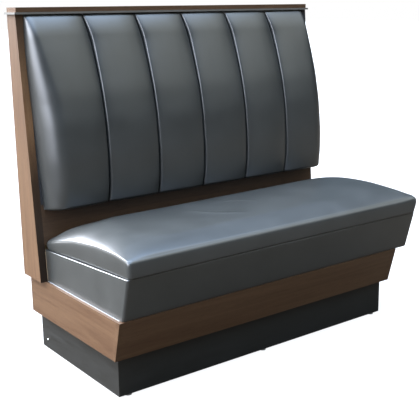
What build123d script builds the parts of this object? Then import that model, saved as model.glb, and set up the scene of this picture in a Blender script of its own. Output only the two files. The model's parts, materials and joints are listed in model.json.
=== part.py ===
# A single restaurant booth bench with one finished walnut end. It has a black toe base,
# a walnut band, a vinyl covered seat box, a seat that draws forward, and a channelled back.
# Millimetres, +Z up, the sitter faces -Y. The origin is on the floor, under the middle
# of the bench's outer box.
from build123d import *
from math import atan, cos, radians, tan
import os

os.makedirs("parts", exist_ok=True)

# Whole bench
overall_width = 1180.0
overall_depth = 604.0
overall_height = 1067.0

# Layers, from the floor up
glide_height = 4.0
base_height = 118.0
band_height = 120.0
box_front_height = 127.0
cap_plate_thickness = 6.0
cap_board_thickness = 14.0

# Slopes: how far the front faces lean out, and how far the seat falls to the rear
front_lean_angle = 14.5
seat_fall_angle = 3.2

# Sheet stock
board = 19.0
end_panel_thickness = 24.0
platform_thickness = 18.0
face_panel_thickness = 15.0
deck_thickness = 12.0
box_floor_thickness = 12.0
rear_panel_thickness = 6.0
vinyl = 1.2

# Plan: how far one layer stands out from, or inside, the next
cap_left_overhang = 6.0
cap_right_overhang = 3.0
cap_rear_overhang = 5.0
cap_front_overhang = 12.0
cap_board_inset = 6.0
box_end_gap = 1.0
back_right_setback = 20.0
band_left_ledge = 12.0
band_front_ledge = 2.5
band_right_setback = 55.0
band_rear_setback = 18.0
toe_inset = 20.0
back_depth_bottom = 118.0
back_depth_top = 58.0

# Small clearances
soft_clearance = 0.3
screw_clearance = 0.1
bolt_clearance = 0.5
overrun = 5.0

# Base
brace_count = 2
block_inset_from_top = 10.0
corner_block_leg = 46.0
glide_radius = 11.0
glide_edge_radius = 1.0
glide_nail_radius = 1.3
glide_nail_length = 15.0
glide_end_inset = 34.0
side_screw_height = 28.0
side_screw_inset = 35.0
side_screw_length = 38.0
dome_radius = 4.5
dome_height = 2.0

# Wood screws
screw_radius = 2.0
screw_head_radius = 4.0
screw_head_depth = 2.2
platform_screw_length = 32.0
platform_screw_end_inset = 90.0
cap_screw_length = 34.0
floor_screw_length = 34.0
floor_screws_per_brace = 3
foot_screw_length = 44.0
end_screw_length = 36.0
end_screw_count = 3
rear_screw_length = 20.0
rear_screw_end_inset = 60.0

# Back bolts
bolt_radius = 4.0
bolt_head_radius = 7.4
bolt_head_height = 5.5
washer_radius = 10.0
washer_thickness = 1.6
nut_height = 6.5
bolt_tail = 3.0
bolt_height_above_box_bottom = 52.0
bolt_end_inset = 110.0
inner_bolt_count = 2

# Seat box
cover_turn = 14.0
box_corner_radius = 8.0
box_block_leg = 60.0
box_block_drop = 12.0
hook_pad_length = 50.0
hook_pad_width = 18.0
hook_pad_thickness = 2.4
loop_pad_thickness = 1.8
hook_pads_per_rail = 2

# Seat
cushion_front_overhang = 5.0
cushion_end_inset = 3.0
seat_rear_gap = 4.0
crown_front_height = 47.0
crown_mid_height = 97.0
crown_rear_height = 32.0
cushion_side_draw = 4.0
deck_margin = 8.0
cover_lip = 26.0
tongue_width = 120.0
tongue_reach = 22.0
tongue_end_inset = 170.0
tongue_clearance = 2.5
vent_radius = 12.0
vent_count = 5

# Back frame
rail = 19.0
stud_count = 3
nogging_height = 400.0

# Back pad
channel_count = 6
end_channel_extra = 10.0
pad_left_gap = 2.0
pad_right_overhang = 3.0
pad_bottom_above_rim = 123.0
pad_top_gap = 1.0
pad_full_depth = 95.0
pad_left_bow = 6.0
pad_right_bow = 7.0
pad_lap = 16.0

# Layer heights
base_bottom_z = glide_height
band_bottom_z = base_bottom_z + base_height
box_bottom_z = band_bottom_z + band_height
rim_front_z = box_bottom_z + box_front_height
cap_board_z = overall_height - cap_board_thickness
back_top_z = cap_board_z - cap_plate_thickness

# Slopes as rise over run
front_lean = tan(radians(front_lean_angle))
seat_fall = tan(radians(seat_fall_angle))
back_lean = (back_depth_bottom - back_depth_top) / (back_top_z - box_bottom_z)
board_across_front = board / cos(radians(front_lean_angle))
vinyl_across_front = vinyl / cos(radians(front_lean_angle))
vinyl_across_rim = vinyl / cos(radians(seat_fall_angle))
board_across_back = board / cos(atan(back_lean))
face_across_back = face_panel_thickness / cos(atan(back_lean))

# Planes along X
cap_left_x = -overall_width / 2
end_panel_x = cap_left_x + cap_left_overhang
back_left_x = end_panel_x + end_panel_thickness
box_left_x = back_left_x + box_end_gap
box_right_x = overall_width / 2
back_right_x = box_right_x - back_right_setback
cap_right_x = back_right_x + cap_right_overhang
band_left_x = box_left_x - band_left_ledge
band_right_x = box_right_x - band_right_setback
base_left_x = band_left_x + toe_inset
base_right_x = band_right_x - toe_inset
rail_left_x = box_left_x + vinyl
rail_right_x = box_right_x - vinyl

# Planes along Y
cap_rear_y = overall_depth / 2
back_rear_y = cap_rear_y - cap_rear_overhang
frame_rear_y = back_rear_y - rear_panel_thickness
back_foot_y = back_rear_y - back_depth_bottom
rim_front_y = -overall_depth / 2 + cushion_front_overhang
box_foot_y = rim_front_y + box_front_height * front_lean
band_top_y = box_foot_y - band_front_ledge
band_foot_y = band_top_y + band_height * front_lean
band_rear_y = back_rear_y - band_rear_setback
base_front_y = band_foot_y + toe_inset
base_rear_y = band_rear_y - toe_inset


def face_y(z):
    """Front plane of the back frame's panels, which leans back as it rises."""
    return back_foot_y + (z - box_bottom_z) * back_lean


def frame_y(z):
    """Front of the back frame itself, behind its panels."""
    return face_y(z) + face_across_back


def rim_z(y):
    """Top of the seat box, which falls towards the rear."""
    return rim_front_z - (y - rim_front_y) * seat_fall


def box_y(z):
    """Front face of the seat box."""
    return box_foot_y - (z - box_bottom_z) * front_lean


def band_y(z):
    """Front face of the walnut band."""
    return band_foot_y - (z - band_bottom_z) * front_lean


def box_front_corner(back, down):
    """Where lines inside the box's front and its rim meet, each offset by so much."""
    base_z = rim_front_z - down - (back + box_foot_y - rim_front_y + box_bottom_z * front_lean) * seat_fall
    z = base_z / (1 - front_lean * seat_fall)
    return box_y(z) + back, z


def rim_corner_z(ahead, down):
    """Height where the rim, lowered by down, meets the back's plane, moved forward by ahead."""
    foot = back_foot_y - ahead - box_bottom_z * back_lean
    return (rim_front_z - down - (foot - rim_front_y) * seat_fall) / (1 + back_lean * seat_fall)


def block(x0, x1, y0, y1, z0, z1):
    """A rectangular board between two corners."""
    return Pos(x0, y0, z0) * Box(x1 - x0, y1 - y0, z1 - z0, align=(Align.MIN, Align.MIN, Align.MIN))


def box_column(inset, front_inset):
    """A column over the seat box's plan that leans as its front does, with its front corners rounded."""
    front = box_y(box_bottom_z) + front_inset
    left, right = box_left_x + inset, box_right_x - inset
    outline = [(left, front), (right, front), (right, cap_rear_y), (left, cap_rear_y)]
    plan = make_face(Polyline(*outline, close=True))
    corners = plan.vertices().sort_by(Axis.Y)[:2]
    plan = fillet(corners, box_corner_radius - inset)
    return extrude(Pos(0, 0, box_bottom_z) * plan, amount=overall_height, dir=(0, -front_lean, 1))


def long_board(points, x0, x1):
    """A board along X whose end shows the outline in points, given as (y, z)."""
    outline = Plane.YZ * Polyline(*points, close=True)
    return Pos(x0, 0, 0) * extrude(make_face(outline), amount=x1 - x0)


def spread(low, high, count):
    """Places spread evenly between low and high, with equal spaces at the ends."""
    return [low + (high - low) * (i + 1) / (count + 1) for i in range(count)]


def save(name, solids):
    """Write one named piece, or a group of like pieces, to its own file."""
    pieces = solids if isinstance(solids, list) else [solids]
    parts = [solid for piece in pieces for solid in piece.solids()]
    export_step(parts[0] if len(parts) == 1 else Compound(children=parts), f"parts/{name}.step")


def cut(piece, tools):
    """The piece with each of the tools taken away."""
    for tool in tools:
        piece = piece - tool
    return piece


# Fasteners, modelled along Z with the drive end on top
def wood_screw(length, spare):
    """A countersunk screw that points down, its head flush at the origin, or its hole."""
    head = Cone(screw_radius + spare, screw_head_radius + spare, screw_head_depth + spare)
    shank = Cylinder(screw_radius + spare, length + spare)
    head = Pos(0, 0, -(screw_head_depth + spare) / 2) * head
    return head + Pos(0, 0, -(length + spare) / 2) * shank


def screws_at(places, length):
    """Screws and their holes at a list of planes whose normals point out of the head."""
    screws = [place * wood_screw(length, 0) for place in places]
    holes = [place * wood_screw(length, screw_clearance) for place in places]
    return screws, holes


def dome_screw(spare):
    """The round headed screw low on the base's sides, or its hole."""
    head = Pos(0, 0, dome_height / 2) * Cone(dome_radius, dome_radius - dome_height, dome_height)
    shank = Pos(0, 0, -side_screw_length / 2) * Cylinder(screw_radius + spare, side_screw_length + spare)
    return head + shank


# Places of the braces and the fasteners
def brace_places(left, right):
    return spread(left, right, brace_count)


def glide_places():
    ys = (base_front_y + board / 2, base_rear_y - board / 2)
    left = base_left_x + glide_end_inset
    right = base_right_x - glide_end_inset
    return [(x, y) for y in ys for x in (left, (left + right) / 2, right)]


def platform_screw_planes():
    ys = (base_front_y + board / 2, base_rear_y - board / 2)
    left = base_left_x + platform_screw_end_inset
    right = base_right_x - platform_screw_end_inset
    top = band_bottom_z + platform_thickness
    return [Plane((x, y, top)) for y in ys for x in (left, (left + right) / 2, right)]


def floor_screw_planes():
    """Screws through the box's floor into the band's cross braces."""
    top = box_bottom_z + box_floor_thickness
    ys = spread(band_y(box_bottom_z) + board_across_front, back_foot_y, floor_screws_per_brace)
    return [Plane((x, y, top)) for x in brace_places(band_left_x, band_right_x) for y in ys]


def foot_screw_planes():
    """Screws through the back's bottom rail into the band's rear board."""
    edges = [band_left_x + board] + stud_places() + [band_right_x - board]
    middles = [(a + b) / 2 for a, b in zip(edges, edges[1:])]
    return [Plane((x, band_rear_y - board / 2, box_bottom_z + rail)) for x in middles]


def side_screw_planes():
    y = base_rear_y - side_screw_inset
    z = base_bottom_z + side_screw_height
    left = Plane((base_left_x, y, z), z_dir=(-1, 0, 0))
    right = Plane((base_right_x, y, z), z_dir=(1, 0, 0))
    return [left, right]


def stud_places():
    return spread(back_left_x, back_right_x, stud_count)


def rear_screw_planes():
    columns = [back_left_x + board / 2] + stud_places() + [back_right_x - board / 2]
    low = box_bottom_z + rear_screw_end_inset
    high = back_top_z - rear_screw_end_inset
    levels = [low, (low + high) / 2, high]
    return [Plane((x, back_rear_y, z), z_dir=(0, 1, 0)) for x in columns for z in levels]


def cap_screw_planes():
    edges = [back_left_x] + stud_places() + [back_right_x]
    y = (frame_y(back_top_z) + frame_rear_y) / 2
    middles = [(a + b) / 2 for a, b in zip(edges, edges[1:])]
    return [Plane((x, y, back_top_z - rail), z_dir=(0, 0, -1)) for x in middles]


def end_screw_planes():
    low = box_bottom_z + rear_screw_end_inset
    high = back_top_z - rear_screw_end_inset
    levels = spread(low, high, end_screw_count)
    x = back_left_x + board
    return [Plane((x, (frame_y(z) + frame_rear_y) / 2, z), z_dir=(1, 0, 0)) for z in levels]


def bolt_planes():
    z = box_bottom_z + bolt_height_above_box_bottom
    left = rail_left_x + bolt_end_inset
    right = back_right_x - bolt_end_inset
    places = [left] + spread(left, right, inner_bolt_count) + [right]
    return [Plane((x, face_y(z), z), x_dir=(1, 0, 0), z_dir=(0, -1, back_lean)) for x in places]


# Base
def base_boards():
    """The four boards of the toe base, drilled for the glide nails and screws."""
    top = band_bottom_z
    nails = [Pos(x, y, base_bottom_z) * glide_nail(screw_clearance) for x, y in glide_places()]
    holes = nails + screws_at(platform_screw_planes(), platform_screw_length)[1]
    inner_front = base_front_y + board
    inner_rear = base_rear_y - board
    side_holes = [place * dome_screw(screw_clearance) for place in side_screw_planes()]
    front = block(base_left_x, base_right_x, base_front_y, inner_front, base_bottom_z, top)
    rear = block(base_left_x, base_right_x, inner_rear, base_rear_y, base_bottom_z, top)
    left = block(base_left_x, base_left_x + board, inner_front, inner_rear, base_bottom_z, top)
    right = block(base_right_x - board, base_right_x, inner_front, inner_rear, base_bottom_z, top)
    save("base_front_board", cut(front, holes))
    save("base_rear_board", cut(rear, holes))
    save("base_left_board", cut(left, side_holes))
    save("base_right_board", cut(right, side_holes))
    save("base_side_screws", [place * dome_screw(0) for place in side_screw_planes()])


def base_inside():
    """Cross braces and triangular corner blocks inside the base."""
    front = base_front_y + board
    rear = base_rear_y - board
    top = band_bottom_z - block_inset_from_top
    braces = [block(x - board / 2, x + board / 2, front, rear, base_bottom_z, band_bottom_z)
              for x in brace_places(base_left_x, base_right_x)]
    save("base_cross_braces", braces)
    holes = [place * dome_screw(screw_clearance) for place in side_screw_planes()]
    blocks = []
    for x, x_way in ((base_left_x + board, 1), (base_right_x - board, -1)):
        for y, y_way in ((front, 1), (rear, -1)):
            corners = [(x, y), (x + x_way * corner_block_leg, y), (x, y + y_way * corner_block_leg)]
            outline = make_face(Polyline(*corners, close=True))
            column = extrude(Pos(0, 0, base_bottom_z) * outline, amount=top - base_bottom_z, dir=(0, 0, 1))
            blocks.append(cut(column, holes))
    save("base_corner_blocks", blocks)


def glide_nail(spare):
    return Pos(0, 0, glide_nail_length / 2) * Cylinder(glide_nail_radius + spare, glide_nail_length + spare)


def base_glides():
    """Nail-on glides under the base's front and rear boards."""
    disc = Pos(0, 0, glide_height / 2) * Cylinder(glide_radius, glide_height)
    disc = fillet(disc.edges().group_by(Axis.Z)[0], glide_edge_radius)
    glide = disc + Pos(0, 0, glide_height) * glide_nail(0)
    save("base_glides", [Pos(x, y, 0) * glide for x, y in glide_places()])


# Band
def platform():
    """The panel that ties the base to the band."""
    top = band_bottom_z + platform_thickness
    rear = band_rear_y - board
    outline = [(band_y(band_bottom_z) + board_across_front, band_bottom_z), (rear, band_bottom_z),
               (rear, top), (band_y(top) + board_across_front, top)]
    screws, holes = screws_at(platform_screw_planes(), platform_screw_length)
    save("platform_panel", cut(long_board(outline, band_left_x + board, band_right_x - board), holes))
    save("platform_screws", screws)


def band_boards():
    """The walnut band: a leaning front board over the ends of the side boards."""
    low, high = band_bottom_z, box_bottom_z
    inner_low = band_y(low) + board_across_front
    inner_high = band_y(high) + board_across_front
    front = [(band_y(low), low), (inner_low, low), (inner_high, high), (band_y(high), high)]
    side = [(inner_low, low), (band_rear_y, low), (band_rear_y, high), (inner_high, high)]
    inner_left = band_left_x + board
    inner_right = band_right_x - board
    save("band_front_board", long_board(front, band_left_x, band_right_x))
    save("band_left_board", long_board(side, band_left_x, inner_left))
    save("band_right_board", long_board(side, inner_right, band_right_x))
    rear_board = block(inner_left, inner_right, band_rear_y - board, band_rear_y, low, high)
    save("band_rear_board", cut(rear_board, screws_at(foot_screw_planes(), foot_screw_length)[1]))
    floor = low + platform_thickness
    rear = band_rear_y - board
    brace = [(band_y(floor) + board_across_front, floor), (rear, floor), (rear, high), (inner_high, high)]
    floor_holes = screws_at(floor_screw_planes(), floor_screw_length)[1]
    places = brace_places(band_left_x, band_right_x)
    braces = [long_board(brace, x - board / 2, x + board / 2) for x in places]
    save("band_cross_braces", [cut(piece, floor_holes) for piece in braces])


# Seat box
def box_frame():
    """Floor and rails of the seat box, inside its vinyl."""
    low = box_bottom_z
    floor = low + box_floor_thickness
    front_low = box_y(low) + vinyl_across_front
    front_floor = box_y(floor) + vinyl_across_front
    outline = [(front_low, low), (face_y(low), low), (face_y(floor), floor), (front_floor, floor)]
    screws, holes = screws_at(floor_screw_planes(), floor_screw_length)
    rounded = box_column(vinyl, vinyl_across_front)
    save("box_floor", cut(long_board(outline, rail_left_x, rail_right_x) & rounded, holes))
    save("box_floor_screws", screws)

    y_out, z_out = box_front_corner(vinyl_across_front, vinyl_across_rim)
    y_in, z_in = box_front_corner(vinyl_across_front + board_across_front, vinyl_across_rim)
    front = [(front_floor, floor), (front_floor + board_across_front, floor), (y_in, z_in), (y_out, z_out)]
    save("box_front_rail", long_board(front, rail_left_x, rail_right_x) & rounded)

    z_back = rim_corner_z(0, vinyl_across_rim)
    z_ahead = rim_corner_z(board_across_back, vinyl_across_rim)
    ahead_low = face_y(floor) - board_across_back
    ahead_high = face_y(z_ahead) - board_across_back
    rear = [(ahead_low, floor), (face_y(floor), floor), (face_y(z_back), z_back), (ahead_high, z_ahead)]
    bolt_holes = [place * bolt_void() for place in bolt_planes()]
    save("box_rear_rail", cut(long_board(rear, rail_left_x, rail_right_x), bolt_holes))

    inner_foot = front_floor + board_across_front
    side = [(inner_foot, floor), (ahead_low, floor), (ahead_high, z_ahead), (y_in, z_in)]
    save("box_left_rail", long_board(side, rail_left_x, rail_left_x + board))
    save("box_right_rail", long_board(side, rail_right_x - board, rail_right_x))

    drop = -loop_pad_bottom / cos(radians(seat_fall_angle))
    cross_in = box_front_corner(vinyl_across_front + board_across_front, drop)
    cross_z = rim_corner_z(board_across_back, drop)
    cross_y = face_y(cross_z) - board_across_back
    cross = [(inner_foot, floor), (ahead_low, floor), (cross_y, cross_z), cross_in]
    places = brace_places(box_left_x, box_right_x)
    save("box_cross_rails", [long_board(cross, x - board / 2, x + board / 2) for x in places])


def box_blocks():
    """Corner blocks that stiffen the seat box."""
    floor = box_bottom_z + box_floor_thickness
    front = box_y(floor) + vinyl_across_front + board_across_front
    rear = face_y(floor) - board_across_back
    blocks = []
    for x, x_way in ((rail_left_x + board, 1), (rail_right_x - board, -1)):
        for y, y_way in ((front, 1), (rear, -1)):
            corners = [(x, y), (x + x_way * box_block_leg, y), (x, y + y_way * box_block_leg)]
            outline = make_face(Polyline(*corners, close=True))
            top = rim_z(back_foot_y) - box_block_drop
            blocks.append(extrude(Pos(0, 0, floor) * outline, amount=top - floor, dir=(0, 0, 1)))
    save("box_corner_blocks", blocks)


def box_cover():
    """The vinyl wrapped round the box's front and ends and turned over its rim."""
    low = box_bottom_z
    rear_top = rim_corner_z(0, 0)
    rim_corner = (rim_front_y, rim_front_z)
    outer = [(box_y(low), low), (face_y(low), low), (face_y(rear_top), rear_top), rim_corner]
    y_out, z_out = box_front_corner(vinyl_across_front, vinyl_across_rim)
    rear_in = rim_z(back_rear_y) - vinyl_across_rim
    core_foot = (box_y(low) + vinyl_across_front, low)
    core = [core_foot, (back_rear_y, low), (back_rear_y, rear_in), (y_out, z_out)]
    solid = long_board(outer, box_left_x, box_right_x) & box_column(0, 0)
    hollow = long_board(core, rail_left_x, rail_right_x) & box_column(vinyl, vinyl_across_front)
    window_front = rim_front_y + cover_turn
    window_rear = face_y(rear_top) - cover_turn
    window = block(box_left_x + cover_turn, box_right_x - cover_turn, window_front, window_rear,
                   box_bottom_z, overall_height)
    save("box_cover", solid - hollow - window)


# Seat, built flat and then laid on the sloping rim
seat_frame = Pos(0, rim_front_y, rim_front_z) * Rot(-seat_fall_angle, 0, 0)
seat_left = box_left_x + cushion_end_inset
seat_right = box_right_x - cushion_end_inset
seat_front = -cushion_front_overhang
seat_rear = (face_y(rim_z(back_foot_y)) - seat_rear_gap - rim_front_y) / cos(radians(seat_fall_angle))
deck_bottom = soft_clearance + vinyl
deck_top = deck_bottom + deck_thickness
loop_pad_bottom = deck_bottom - hook_pad_thickness - soft_clearance - loop_pad_thickness

# The crown along the seat, as shares of the half length and of the crown's heights
crown_place_shares = (-1.0, -0.84, 0.0, 0.84, 1.0)
crown_front_shares = (0.98, 1.0, 1.0, 1.0, 0.98)
crown_mid_shares = (0.74, 0.91, 1.0, 0.91, 0.74)
crown_rear_shares = (0.68, 0.86, 1.0, 0.86, 0.68)


def crown_section(x, inset, bottom, index):
    """One upright section of the cushion: flat below, an arc over the top."""
    front = seat_front - overrun
    rear = seat_rear + overrun
    front_top = crown_front_height * crown_front_shares[index] - inset
    mid_top = crown_mid_height * crown_mid_shares[index] - inset
    rear_top = crown_rear_height * crown_rear_shares[index] - inset
    low = Polyline((front, front_top), (front, bottom), (rear, bottom), (rear, rear_top))
    top = ThreePointArc((rear, rear_top), ((front + rear) / 2, mid_top), (front, front_top))
    return Pos(x, 0, 0) * make_face(Plane.YZ * (low + top))


def drawn_outline(inset):
    """The cushion's plan, whose four sides pull in between the corners."""
    x0, x1 = seat_left + inset, seat_right - inset
    y0, y1 = seat_front + inset, seat_rear - inset
    x_mid, y_mid = (x0 + x1) / 2, (y0 + y1) / 2
    front = ThreePointArc((x0, y0), (x_mid, y0 + cushion_side_draw), (x1, y0))
    right = ThreePointArc((x1, y0), (x1 - cushion_side_draw, y_mid), (x1, y1))
    rear = ThreePointArc((x1, y1), (x_mid, y1 - cushion_side_draw), (x0, y1))
    left = ThreePointArc((x0, y1), (x0 + cushion_side_draw, y_mid), (x0, y0))
    return make_face(front + right + rear + left)


def cushion_form(inset, bottom):
    """The crowned cushion with drawn-in sides, made smaller all round by inset."""
    middle = (seat_left + seat_right) / 2
    half = (seat_right - seat_left) / 2 + overrun
    sections = [crown_section(middle + half * share, inset, bottom, i)
                for i, share in enumerate(crown_place_shares)]
    height = crown_mid_height + overrun
    column = extrude(Pos(0, 0, bottom) * drawn_outline(inset), amount=height, dir=(0, 0, 1))
    return loft(sections) & column


def tongue_places():
    return (seat_left + tongue_end_inset, seat_right - tongue_end_inset)


def tongue(x, spare):
    """One rear tongue of the deck, which passes under the lower back panel."""
    half = tongue_width / 2 + spare
    start = seat_rear - deck_margin - overrun
    end = seat_rear + tongue_reach
    return block(x - half, x + half, start, end, deck_bottom - spare, deck_top + spare)


def seat_deck():
    """Plywood deck with vent holes and two rear tongues."""
    deck = block(seat_left + deck_margin, seat_right - deck_margin, seat_front + deck_margin,
                 seat_rear - deck_margin, deck_bottom, deck_top)
    for x in tongue_places():
        deck = deck + tongue(x, 0)
    middle = (seat_front + seat_rear) / 2
    drill = Pos(0, middle, (deck_bottom + deck_top) / 2) * Cylinder(vent_radius, deck_thickness + overrun)
    deck = cut(deck, [Pos(x, 0, 0) * drill for x in spread(seat_left, seat_right, vent_count)])
    save("seat_deck", seat_frame * deck)


def seat_soft():
    """Foam over the deck, and the vinyl cover turned under the deck's edge."""
    inner_form = cushion_form(vinyl, deck_bottom)
    save("seat_foam", seat_frame * cushion_form(vinyl + soft_clearance, deck_top))
    window = block(seat_left + cover_lip, seat_right - cover_lip, seat_front + cover_lip,
                   seat_rear - cover_lip, 0, deck_bottom + overrun)
    slots = [tongue(x, soft_clearance) for x in tongue_places()]
    cover = cushion_form(0, soft_clearance) - inner_form - window
    save("seat_cover", seat_frame * cut(cover, slots))


def grip_pads():
    """Hook pads under the deck and loop pads on the box's cross rails, which hold the seat still."""
    hooks = []
    loops = []
    for x in brace_places(box_left_x, box_right_x):
        left = x - hook_pad_width / 2
        right = x + hook_pad_width / 2
        for y in spread(seat_front, seat_rear, hook_pads_per_rail):
            near = y - hook_pad_length / 2
            far = y + hook_pad_length / 2
            hook = block(left, right, near, far, deck_bottom - hook_pad_thickness, deck_bottom)
            loop = block(left, right, near, far, loop_pad_bottom, loop_pad_bottom + loop_pad_thickness)
            hooks.append(seat_frame * hook)
            loops.append(seat_frame * loop)
    save("seat_hook_pads", hooks)
    save("seat_loop_pads", loops)


# Back
def back_wedge(low, high):
    """Outline of a frame board between two heights, from its leaning front to the rear panel."""
    return [(frame_y(low), low), (frame_rear_y, low), (frame_rear_y, high), (frame_y(high), high)]


def back_frame():
    """Side boards, rails, studs and noggings of the back."""
    low, high = box_bottom_z, back_top_z
    rear_holes = screws_at(rear_screw_planes(), rear_screw_length)[1]
    end_screws, end_holes = screws_at(end_screw_planes(), end_screw_length)
    left = long_board(back_wedge(low, high), back_left_x, back_left_x + board)
    right = long_board(back_wedge(low, high), back_right_x - board, back_right_x)
    save("back_left_side", cut(left, rear_holes + end_holes))
    save("back_right_side", cut(right, rear_holes))
    save("end_panel_screws", end_screws)

    inner_left = back_left_x + board
    inner_right = back_right_x - board
    cap_holes = screws_at(cap_screw_planes(), cap_screw_length)[1]
    top_rail = long_board(back_wedge(high - rail, high), inner_left, inner_right)
    foot_screws, foot_holes = screws_at(foot_screw_planes(), foot_screw_length)
    bottom_rail = long_board(back_wedge(low, low + rail), inner_left, inner_right)
    save("back_bottom_rail", cut(bottom_rail, foot_holes))
    save("back_foot_screws", foot_screws)
    save("back_top_rail", cut(top_rail, cap_holes))

    stud_outline = back_wedge(low + rail, high - rail)
    studs = [long_board(stud_outline, x - board / 2, x + board / 2) for x in stud_places()]
    save("back_studs", [cut(stud, rear_holes) for stud in studs])
    level = low + nogging_height
    starts = [inner_left] + [x + board / 2 for x in stud_places()]
    ends = [x - board / 2 for x in stud_places()] + [inner_right]
    nogging = back_wedge(level, level + rail)
    save("back_noggings", [long_board(nogging, x0, x1) for x0, x1 in zip(starts, ends)])


def back_panels():
    """Bolt rail, lower panel and pad backboard in front, rear panel behind, end panel beside."""
    slot_bottom = rim_corner_z(0, vinyl_across_rim)
    outline = face_outline(box_bottom_z, slot_bottom - seat_fall * face_panel_thickness)
    bolt_holes = [place * bolt_void() for place in bolt_planes()]
    save("back_bolt_rail", cut(long_board(outline, back_left_x, back_right_x), bolt_holes))
    panel_low = rim_corner_z(0, 0) + deck_top + tongue_clearance
    joint_z = pad_bottom_z + pad_lap
    save("lower_back_panel", long_board(face_outline(panel_low, joint_z), back_left_x, back_right_x))
    save("pad_backboard", long_board(face_outline(joint_z, back_top_z), back_left_x, back_right_x))

    screws, holes = screws_at(rear_screw_planes(), rear_screw_length)
    rear = block(back_left_x, back_right_x, frame_rear_y, back_rear_y, box_bottom_z, back_top_z)
    save("back_rear_panel", cut(rear, holes))
    save("rear_panel_screws", screws)

    end = [(face_y(box_bottom_z), box_bottom_z), (back_rear_y, box_bottom_z),
           (back_rear_y, back_top_z), (face_y(back_top_z), back_top_z)]
    end_holes = screws_at(end_screw_planes(), end_screw_length)[1]
    save("left_end_panel", cut(long_board(end, end_panel_x, back_left_x), end_holes))


def face_outline(low, high):
    """Outline of a panel on the back frame's front, between two heights."""
    return [(face_y(low), low), (frame_y(low), low), (frame_y(high), high), (face_y(high), high)]


def cap():
    """A thin plate over the back frame with a thicker walnut board on it."""
    screws, holes = screws_at(cap_screw_planes(), cap_screw_length)
    front = face_y(back_top_z) - cap_front_overhang
    plate = block(cap_left_x, cap_right_x, front, cap_rear_y, back_top_z, cap_board_z)
    inset = cap_board_inset
    top = block(cap_left_x + inset, cap_right_x - inset, front + inset, cap_rear_y - inset,
                cap_board_z, overall_height)
    save("cap_plate", cut(plate, holes))
    save("cap_board", cut(top, holes))
    save("cap_screws", screws)


def bolt_void():
    """The hole for a back bolt through the box's rear rail and the bolt rail."""
    depth = board + face_panel_thickness + overrun
    middle = (board - face_panel_thickness) / 2
    return Pos(0, 0, middle) * Cylinder(bolt_radius + bolt_clearance, depth)


def back_bolts():
    """Hexagon bolts from inside the seat box into the back, with washers and nuts."""
    head_z = board + washer_thickness
    nut_z = -face_panel_thickness
    shank_low = nut_z - nut_height - bolt_tail
    shank = Pos(0, 0, (head_z + shank_low) / 2) * Cylinder(bolt_radius, head_z - shank_low)
    hexagon = RegularPolygon(bolt_head_radius, 6)
    head = Pos(0, 0, head_z) * extrude(hexagon, amount=bolt_head_height)
    nut_bore = Cylinder(bolt_radius + screw_clearance, 2 * (nut_height + washer_thickness))
    nut = extrude(hexagon, amount=nut_height) - nut_bore
    washer = Pos(0, 0, washer_thickness / 2) * Cylinder(washer_radius, washer_thickness) - nut_bore
    save("back_bolts", [place * (head + shank) for place in bolt_planes()])
    save("back_bolt_nuts", [place * (Pos(0, 0, nut_z - nut_height) * nut) for place in bolt_planes()])
    save("back_bolt_washers", [place * (Pos(0, 0, board) * washer) for place in bolt_planes()])


# Back pad. Its depth in front of the frame, at shares of its height, as shares of its full depth
pad_bottom_z = rim_z(back_foot_y) + pad_bottom_above_rim
pad_top_z = back_top_z - pad_top_gap
pad_height_shares = (0.0, 0.03, 0.11, 0.26, 0.45, 0.60, 0.75, 0.90, 1.0)
pad_side_shares = (0.22, 0.50, 0.64, 0.71, 0.68, 0.56, 0.32, 0.12, 0.05)
pad_valley_shares = (0.27, 0.58, 0.74, 0.81, 0.78, 0.65, 0.42, 0.19, 0.07)
pad_peak_shares = (0.36, 0.76, 0.93, 1.0, 0.96, 0.82, 0.59, 0.33, 0.16)

# How far the pad's sides stand out at the same heights, as shares of their bows
pad_left_bow_shares = (-1.3, -1.1, -0.8, 0.0, 0.25, 0.65, 1.0, 0.85, 0.0)
pad_right_bow_shares = (0.4, 0.6, 0.9, 1.0, 1.0, 0.8, 0.2, -0.8, -1.5)


def channel_edges(index, inset):
    """Where the pad's channels begin and end along X. The end channels are a little wider."""
    left = back_left_x + pad_left_gap + inset - pad_left_bow * pad_left_bow_shares[index]
    right = back_right_x + pad_right_overhang - inset + pad_right_bow * pad_right_bow_shares[index]
    inner_left = back_left_x + pad_left_gap
    inner_right = back_right_x + pad_right_overhang
    pitch = (inner_right - inner_left - 2 * end_channel_extra) / channel_count
    seams = [inner_left + end_channel_extra + pitch * (i + 1) for i in range(channel_count - 1)]
    return [left] + seams + [right]


def pad_section(index, inset):
    """One level section of the pad: a flat back, two sides and an arc for each channel."""
    low = pad_bottom_z + inset
    z = low + (pad_top_z - inset - low) * pad_height_shares[index]
    back = face_y(z) - soft_clearance
    side = back - pad_full_depth * pad_side_shares[index] + inset
    valley = back - pad_full_depth * pad_valley_shares[index] + inset
    peak = back - pad_full_depth * pad_peak_shares[index] + inset
    edges = channel_edges(index, inset)
    depths = [side] + [valley] * (channel_count - 1) + [side]
    left, right = edges[0], edges[-1]
    outline = Polyline((right, side), (right, back), (left, back), (left, side))
    for i in range(channel_count):
        start = (edges[i], depths[i])
        middle = ((edges[i] + edges[i + 1]) / 2, peak)
        end = (edges[i + 1], depths[i + 1])
        outline = outline + ThreePointArc(start, middle, end)
    return Pos(0, 0, z) * make_face(outline)


def pad_form(inset):
    return loft([pad_section(i, inset) for i in range(len(pad_height_shares))])


def back_pad():
    """The channelled foam and its vinyl cover, open at the backboard."""
    save("back_cover", pad_form(0) - pad_form(vinyl))
    save("back_foam", pad_form(vinyl + soft_clearance))


def main():
    base_boards()
    base_inside()
    base_glides()
    platform()
    band_boards()
    box_frame()
    box_blocks()
    box_cover()
    seat_deck()
    seat_soft()
    grip_pads()
    back_frame()
    back_panels()
    cap()
    back_bolts()
    back_pad()


main()
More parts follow.
